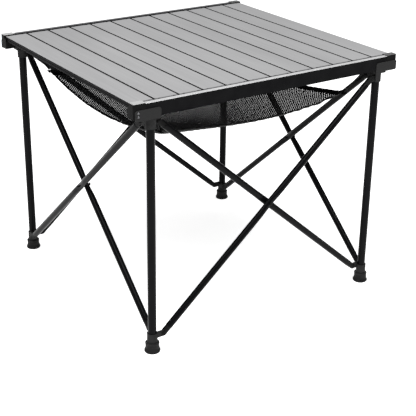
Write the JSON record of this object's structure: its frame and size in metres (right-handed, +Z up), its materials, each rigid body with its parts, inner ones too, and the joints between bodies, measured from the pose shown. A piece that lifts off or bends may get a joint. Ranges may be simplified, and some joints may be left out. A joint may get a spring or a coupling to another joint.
{
  "type": "roll-top camping table",
  "caption": "Folding camp kitchen table with an accordion slat top, two side rails, telescoping legs, crossed scissor braces and a hanging mesh shelf.",
  "frame": {"origin": "on the ground below the middle of the table top", "axes": "+X along the side rails, from the front and left corners towards the right and back corners; +Y along the slats; +Z up"},
  "size_m": [0.6, 0.5506, 0.4978],
  "materials": {
    "slat_aluminium": "light grey anodised extrusion, satin",
    "rail_black": "black powder coat, satin",
    "end_cap_plastic": "moulded black nylon, fine grain",
    "casting_plastic": "glass-filled black nylon, semi-matt",
    "foot_rubber": "soft black rubber",
    "leg_tube_black": "black anodised tube, satin",
    "leg_tube_inner": "black anodised inner tube, satin",
    "brace_tube_black": "black gloss painted tube",
    "brace_fitting": "black moulded fork with blackened pin",
    "rivet_steel": "blackened steel rivet head",
    "net_mesh": "open polyester mesh, dark grey",
    "net_binding": "woven black binding tape",
    "net_cord": "braided black elastic cord"
  },
  "bodies": {
    "foot_front": {"foot_hub_front": "casting_plastic", "foot_pad_front": "foot_rubber", "leg_lower_tube_front": "leg_tube_inner"},
    "foot_right": {"foot_hub_right": "casting_plastic", "foot_pad_right": "foot_rubber", "leg_lower_tube_right": "leg_tube_inner"},
    "foot_back": {"foot_hub_back": "casting_plastic", "foot_pad_back": "foot_rubber", "leg_lower_tube_back": "leg_tube_inner"},
    "foot_left": {"foot_hub_left": "casting_plastic", "foot_pad_left": "foot_rubber", "leg_lower_tube_left": "leg_tube_inner"},
    "deck_and_bracket_front": {"corner_bracket_front": "casting_plastic", "leg_upper_tube_front": "leg_tube_black", "rail_front": "rail_black", "rail_rear": "rail_black", "rail_end_caps": "end_cap_plastic", "rail_end_plates": "end_cap_plastic", "plate_rivets": "rivet_steel", "mesh_net": "net_mesh", "net_hem": "net_binding", "net_cord_front": "net_cord", "net_cord_right": "net_cord", "net_cord_back": "net_cord", "net_cord_left": "net_cord"},
    "bracket_right": {"corner_bracket_right": "casting_plastic", "leg_upper_tube_right": "leg_tube_black"},
    "bracket_back": {"corner_bracket_back": "casting_plastic", "leg_upper_tube_back": "leg_tube_black"},
    "bracket_left": {"corner_bracket_left": "casting_plastic", "leg_upper_tube_left": "leg_tube_black"},
    "brace_front_right_outer": {"brace_front_right_outer": "brace_tube_black", "brace_front_right_outer_ends": "brace_fitting"},
    "brace_front_right_inner": {"brace_front_right_inner": "brace_tube_black", "brace_front_right_inner_ends": "brace_fitting"},
    "brace_right_back_outer": {"brace_right_back_outer": "brace_tube_black", "brace_right_back_outer_ends": "brace_fitting"},
    "brace_right_back_inner": {"brace_right_back_inner": "brace_tube_black", "brace_right_back_inner_ends": "brace_fitting"},
    "brace_back_left_outer": {"brace_back_left_outer": "brace_tube_black", "brace_back_left_outer_ends": "brace_fitting"},
    "brace_back_left_inner": {"brace_back_left_inner": "brace_tube_black", "brace_back_left_inner_ends": "brace_fitting"},
    "brace_left_front_outer": {"brace_left_front_outer": "brace_tube_black", "brace_left_front_outer_ends": "brace_fitting"},
    "brace_left_front_inner": {"brace_left_front_inner": "brace_tube_black", "brace_left_front_inner_ends": "brace_fitting"},
    "slat_01": {"slat_01": "slat_aluminium"},
    "slat_02": {"slat_02": "slat_aluminium"},
    "slat_03": {"slat_03": "slat_aluminium"},
    "slat_04": {"slat_04": "slat_aluminium"},
    "slat_05": {"slat_05": "slat_aluminium"},
    "slat_06": {"slat_06": "slat_aluminium"},
    "slat_07": {"slat_07": "slat_aluminium"},
    "slat_08": {"slat_08": "slat_aluminium"},
    "slat_09": {"slat_09": "slat_aluminium"},
    "slat_10": {"slat_10": "slat_aluminium"},
    "slat_11": {"slat_11": "slat_aluminium"},
    "slat_12": {"slat_12": "slat_aluminium"}
  },
  "joints": [
    {"name": "frame_fold", "type": "hinge", "parent": "foot_front", "child": "brace_front_right_outer", "pos_m": [-0.24, -0.26675, 0.036], "axis": [0, -1, 0], "range_deg": [0, 48.5], "deforming": ["mesh_net", "net_hem", "net_cord_front", "net_cord_right", "net_cord_back", "net_cord_left"]},
    {"name": "front_right_crossing", "type": "hinge", "parent": "brace_front_right_outer", "child": "brace_front_right_inner", "pos_m": [0, -0.26, 0.245], "axis": [0, -1, 0], "range_deg": [-97.2, 0]},
    {"name": "right_bracket_pivot", "type": "hinge", "parent": "brace_front_right_outer", "child": "bracket_right", "pos_m": [0.24, -0.26675, 0.454], "axis": [0, -1, 0], "range_deg": [-48.6, 0]},
    {"name": "front_bracket_pivot", "type": "hinge", "parent": "brace_front_right_inner", "child": "deck_and_bracket_front", "pos_m": [-0.24, -0.25325, 0.454], "axis": [0, -1, 0], "range_deg": [0, 48.6]},
    {"name": "right_foot_pivot", "type": "hinge", "parent": "brace_front_right_inner", "child": "foot_right", "pos_m": [0.24, -0.25325, 0.036], "axis": [0, -1, 0], "range_deg": [0, 48.6]},
    {"name": "left_front_fold", "type": "hinge", "parent": "foot_front", "child": "brace_left_front_inner", "pos_m": [-0.25325, -0.24, 0.036], "axis": [1, 0, 0], "range_deg": [0, 48.6]},
    {"name": "left_front_crossing", "type": "hinge", "parent": "brace_left_front_inner", "child": "brace_left_front_outer", "pos_m": [-0.26, 0, 0.245], "axis": [1, 0, 0], "range_deg": [-97.2, 0]},
    {"name": "left_bracket_pivot", "type": "hinge", "parent": "brace_left_front_inner", "child": "bracket_left", "pos_m": [-0.25325, 0.24, 0.454], "axis": [1, 0, 0], "range_deg": [-48.6, 0]},
    {"name": "left_foot_pivot", "type": "hinge", "parent": "brace_left_front_outer", "child": "foot_left", "pos_m": [-0.26675, 0.24, 0.036], "axis": [1, 0, 0], "range_deg": [0, 48.6]},
    {"name": "right_back_fold", "type": "hinge", "parent": "foot_right", "child": "brace_right_back_outer", "pos_m": [0.26675, -0.24, 0.036], "axis": [1, 0, 0], "range_deg": [0, 48.6]},
    {"name": "right_back_crossing", "type": "hinge", "parent": "brace_right_back_outer", "child": "brace_right_back_inner", "pos_m": [0.26, 0, 0.245], "axis": [1, 0, 0], "range_deg": [-97.2, 0]},
    {"name": "back_bracket_pivot", "type": "hinge", "parent": "brace_right_back_outer", "child": "bracket_back", "pos_m": [0.26675, 0.24, 0.454], "axis": [1, 0, 0], "range_deg": [-48.6, 0]},
    {"name": "back_foot_pivot", "type": "hinge", "parent": "brace_right_back_inner", "child": "foot_back", "pos_m": [0.25325, 0.24, 0.036], "axis": [1, 0, 0], "range_deg": [0, 48.6]},
    {"name": "back_left_fold", "type": "hinge", "parent": "foot_left", "child": "brace_back_left_inner", "pos_m": [-0.24, 0.25325, 0.036], "axis": [0, -1, 0], "range_deg": [0, 48.6]},
    {"name": "back_left_crossing", "type": "hinge", "parent": "brace_back_left_inner", "child": "brace_back_left_outer", "pos_m": [0, 0.26, 0.245], "axis": [0, -1, 0], "range_deg": [-97.2, 0]},
    {"name": "top_lift", "type": "slide", "parent": "deck_and_bracket_front", "child": "slat_01", "axis": [0, 0, 1], "range_m": [0, 0.12]},
    {"name": "slat_fold", "type": "hinge", "parent": "slat_01", "child": "slat_02", "pos_m": [-0.249, 0, 0.4953], "axis": [0, -1, 0], "range_deg": [0, 180]},
    {"name": "slat_link_02_03", "type": "hinge", "parent": "slat_02", "child": "slat_03", "pos_m": [-0.1992, 0, 0.4847], "axis": [0, -1, 0], "range_deg": [-180, 0]},
    {"name": "slat_link_03_04", "type": "hinge", "parent": "slat_03", "child": "slat_04", "pos_m": [-0.1494, 0, 0.4953], "axis": [0, -1, 0], "range_deg": [0, 180]},
    {"name": "slat_link_04_05", "type": "hinge", "parent": "slat_04", "child": "slat_05", "pos_m": [-0.0996, 0, 0.4847], "axis": [0, -1, 0], "range_deg": [-180, 0]},
    {"name": "slat_link_05_06", "type": "hinge", "parent": "slat_05", "child": "slat_06", "pos_m": [-0.0498, 0, 0.4953], "axis": [0, -1, 0], "range_deg": [0, 180]},
    {"name": "slat_link_06_07", "type": "hinge", "parent": "slat_06", "child": "slat_07", "pos_m": [0, 0, 0.4847], "axis": [0, -1, 0], "range_deg": [-180, 0]},
    {"name": "slat_link_07_08", "type": "hinge", "parent": "slat_07", "child": "slat_08", "pos_m": [0.0498, 0, 0.4953], "axis": [0, -1, 0], "range_deg": [0, 180]},
    {"name": "slat_link_08_09", "type": "hinge", "parent": "slat_08", "child": "slat_09", "pos_m": [0.0996, 0, 0.4847], "axis": [0, -1, 0], "range_deg": [-180, 0]},
    {"name": "slat_link_09_10", "type": "hinge", "parent": "slat_09", "child": "slat_10", "pos_m": [0.1494, 0, 0.4953], "axis": [0, -1, 0], "range_deg": [0, 180]},
    {"name": "slat_link_10_11", "type": "hinge", "parent": "slat_10", "child": "slat_11", "pos_m": [0.1992, 0, 0.4847], "axis": [0, -1, 0], "range_deg": [-180, 0]},
    {"name": "slat_link_11_12", "type": "hinge", "parent": "slat_11", "child": "slat_12", "pos_m": [0.249, 0, 0.4953], "axis": [0, -1, 0], "range_deg": [0, 180]}
  ],
  "couplings": [
    {"joint": "front_right_crossing", "follows": "frame_fold", "ratio": -2},
    {"joint": "right_bracket_pivot", "follows": "frame_fold", "ratio": -1},
    {"joint": "front_bracket_pivot", "follows": "frame_fold", "ratio": 1},
    {"joint": "right_foot_pivot", "follows": "frame_fold", "ratio": 1},
    {"joint": "left_front_fold", "follows": "frame_fold", "ratio": 1},
    {"joint": "left_front_crossing", "follows": "frame_fold", "ratio": -2},
    {"joint": "left_bracket_pivot", "follows": "frame_fold", "ratio": -1},
    {"joint": "left_foot_pivot", "follows": "frame_fold", "ratio": 1},
    {"joint": "right_back_fold", "follows": "frame_fold", "ratio": 1},
    {"joint": "right_back_crossing", "follows": "frame_fold", "ratio": -2},
    {"joint": "back_bracket_pivot", "follows": "frame_fold", "ratio": -1},
    {"joint": "back_foot_pivot", "follows": "frame_fold", "ratio": 1},
    {"joint": "back_left_fold", "follows": "frame_fold", "ratio": 1},
    {"joint": "back_left_crossing", "follows": "frame_fold", "ratio": -2},
    {"joint": "slat_link_02_03", "follows": "slat_fold", "ratio": -1},
    {"joint": "slat_link_03_04", "follows": "slat_fold", "ratio": 1},
    {"joint": "slat_link_04_05", "follows": "slat_fold", "ratio": -1},
    {"joint": "slat_link_05_06", "follows": "slat_fold", "ratio": 1},
    {"joint": "slat_link_06_07", "follows": "slat_fold", "ratio": -1},
    {"joint": "slat_link_07_08", "follows": "slat_fold", "ratio": 1},
    {"joint": "slat_link_08_09", "follows": "slat_fold", "ratio": -1},
    {"joint": "slat_link_09_10", "follows": "slat_fold", "ratio": 1},
    {"joint": "slat_link_10_11", "follows": "slat_fold", "ratio": -1},
    {"joint": "slat_link_11_12", "follows": "slat_fold", "ratio": 1}
  ]
}
